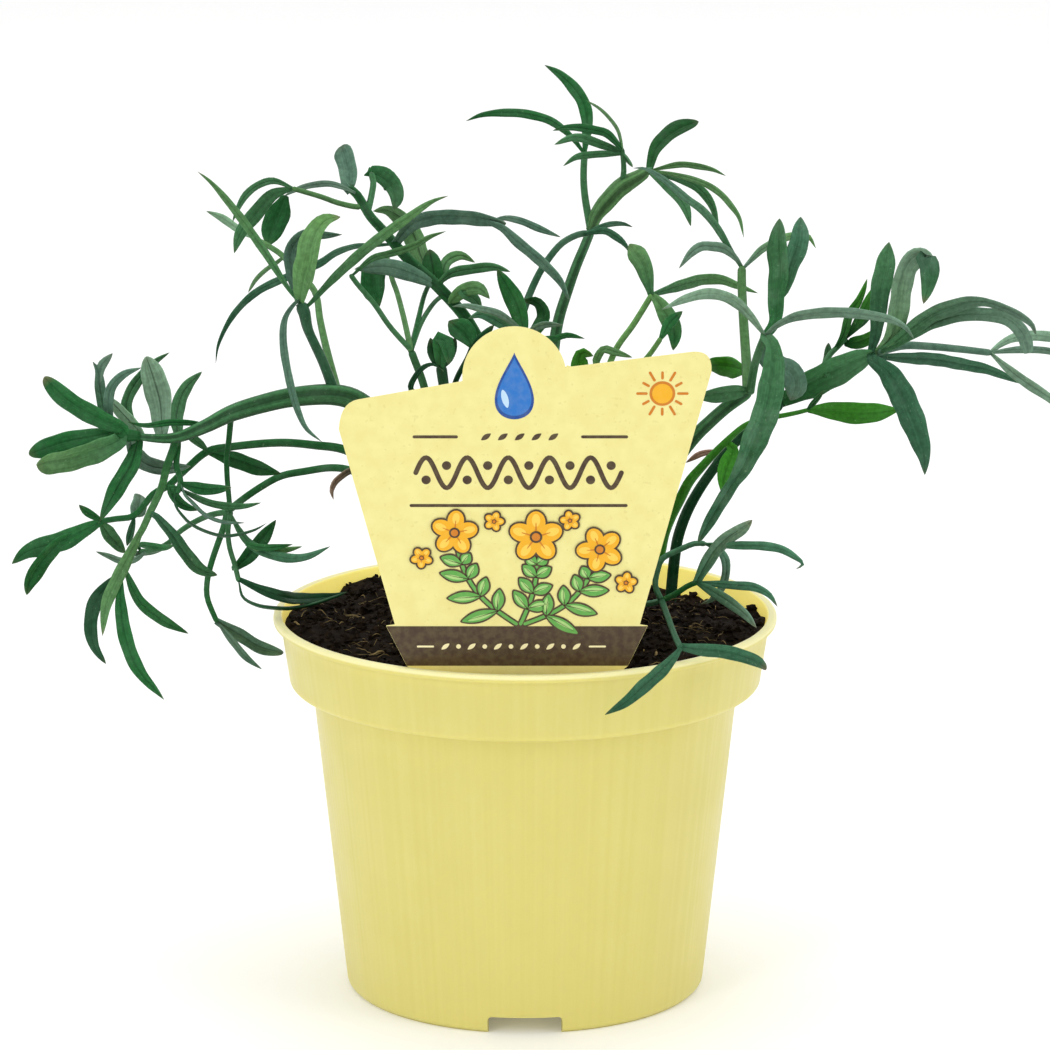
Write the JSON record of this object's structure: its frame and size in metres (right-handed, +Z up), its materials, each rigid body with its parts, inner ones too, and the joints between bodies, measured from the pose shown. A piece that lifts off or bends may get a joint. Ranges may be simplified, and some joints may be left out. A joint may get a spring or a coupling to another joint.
{
  "type": "potted rock samphire",
  "caption": "Rock samphire herb with forked fleshy leaves in a round collared plastic pot of soil, with a plain printed plant label.",
  "frame": {"origin": "on the pot's axis, on the surface that the pot stands on", "axes": "+Z up, the label's printed side and the front of the object face -Y, +X to the right as seen from the front"},
  "size_m": [0.2597, 0.1297, 0.214],
  "materials": {
    "pot_plastic": "pale yellow moulded plastic, satin, with faint upright ribs",
    "soil_peat": "dark damp peat with lighter fibres",
    "label_card": null,
    "crown": "brown woody rootstock",
    "stem": "ridged grey-green stem",
    "leaf_dark": "dark green fleshy leaf, satin",
    "leaf_green": "fresh green fleshy leaf, satin",
    "leaf_grey": "grey-green leaf with a pale bloom"
  },
  "bodies": {
    "root": {"pot": "pot_plastic", "soil": "soil_peat", "label_card": "label_card", "crown_left": "crown", "crown_centre": "crown", "crown_right": "crown", "stem_left": "stem", "stem_arching": "stem", "stem_tall": "stem", "stem_right": "stem", "stem_back_right": "leaf_dark", "leaf_left_tip": "leaf_dark", "leaf_left_hanging": "leaf_dark", "leaf_left_fan": "leaf_dark", "leaf_left_long": "leaf_dark", "leaf_left_arched": "leaf_grey", "leaf_left_drop": "leaf_dark", "leaf_high_left": "leaf_dark", "leaf_high_pale": "leaf_grey", "leaf_arch_end": "leaf_grey", "leaf_arch_folded": "leaf_dark", "leaf_arch_bright": "leaf_green", "leaf_arch_upper": "leaf_green", "leaf_arch_long": "leaf_grey", "leaf_arch_grey": "leaf_grey", "leaf_arch_forked": "leaf_grey", "leaf_arch_wavy": "leaf_green", "leaf_centre_left": "leaf_green", "leaf_tab_left": "leaf_dark", "leaf_tab_front": "leaf_dark", "leaf_grey_arch": "leaf_grey", "leaf_tall_tip": "leaf_dark", "leaf_tall_small": "leaf_green", "leaf_tall_right": "leaf_dark", "leaf_front_bright": "leaf_green", "leaf_right_upright": "leaf_grey", "leaf_right_dark": "leaf_dark", "leaf_right_grey": "leaf_grey", "leaf_back_small": "leaf_green", "leaf_back_upright": "leaf_dark", "leaf_back_curled": "leaf_grey", "leaf_back_forked": "leaf_dark", "leaf_back_long": "leaf_grey", "leaf_back_straight": "leaf_dark", "leaf_back_down": "leaf_dark", "leaf_right_bright": "leaf_green", "leaf_low_right": "leaf_dark", "leaf_over_rim": "leaf_dark"}
  },
  "joints": []
}
